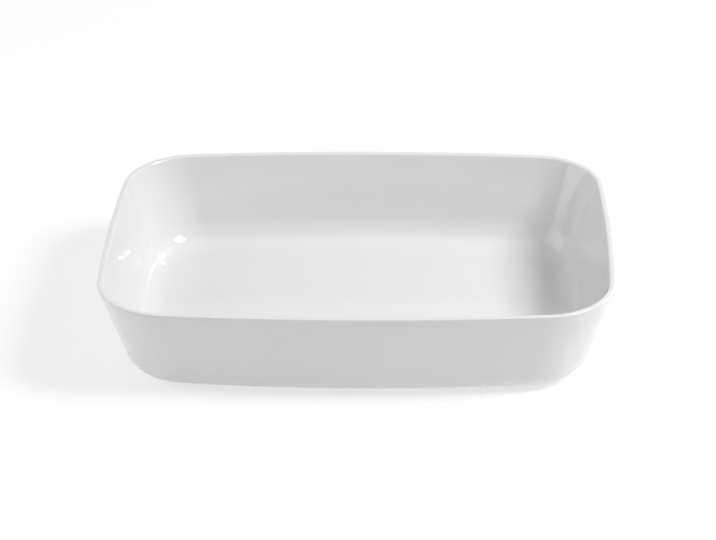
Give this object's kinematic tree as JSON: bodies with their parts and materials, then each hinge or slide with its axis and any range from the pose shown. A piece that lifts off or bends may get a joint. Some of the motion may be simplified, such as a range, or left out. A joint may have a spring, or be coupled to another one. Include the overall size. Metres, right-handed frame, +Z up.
{
  "type": "rectangular baking dish",
  "caption": "Open rectangular ceramic baking dish with bowed, tapered walls, rounded corners, a rounded lip and a low foot ring, glazed white.",
  "frame": {"origin": "centre of the footprint, in the plane of the foot ring's sole, where the dish stands on a table", "axes": "+X along the dish, +Y across it, +Z up out of its mouth"},
  "size_m": [0.34, 0.24, 0.068],
  "materials": {
    "bare_clay": "matte",
    "white_glaze": "gloss"
  },
  "bodies": {
    "root": {"stoneware_body": "bare_clay", "glaze_coat": "white_glaze", "base_glaze": "white_glaze"}
  },
  "joints": []
}
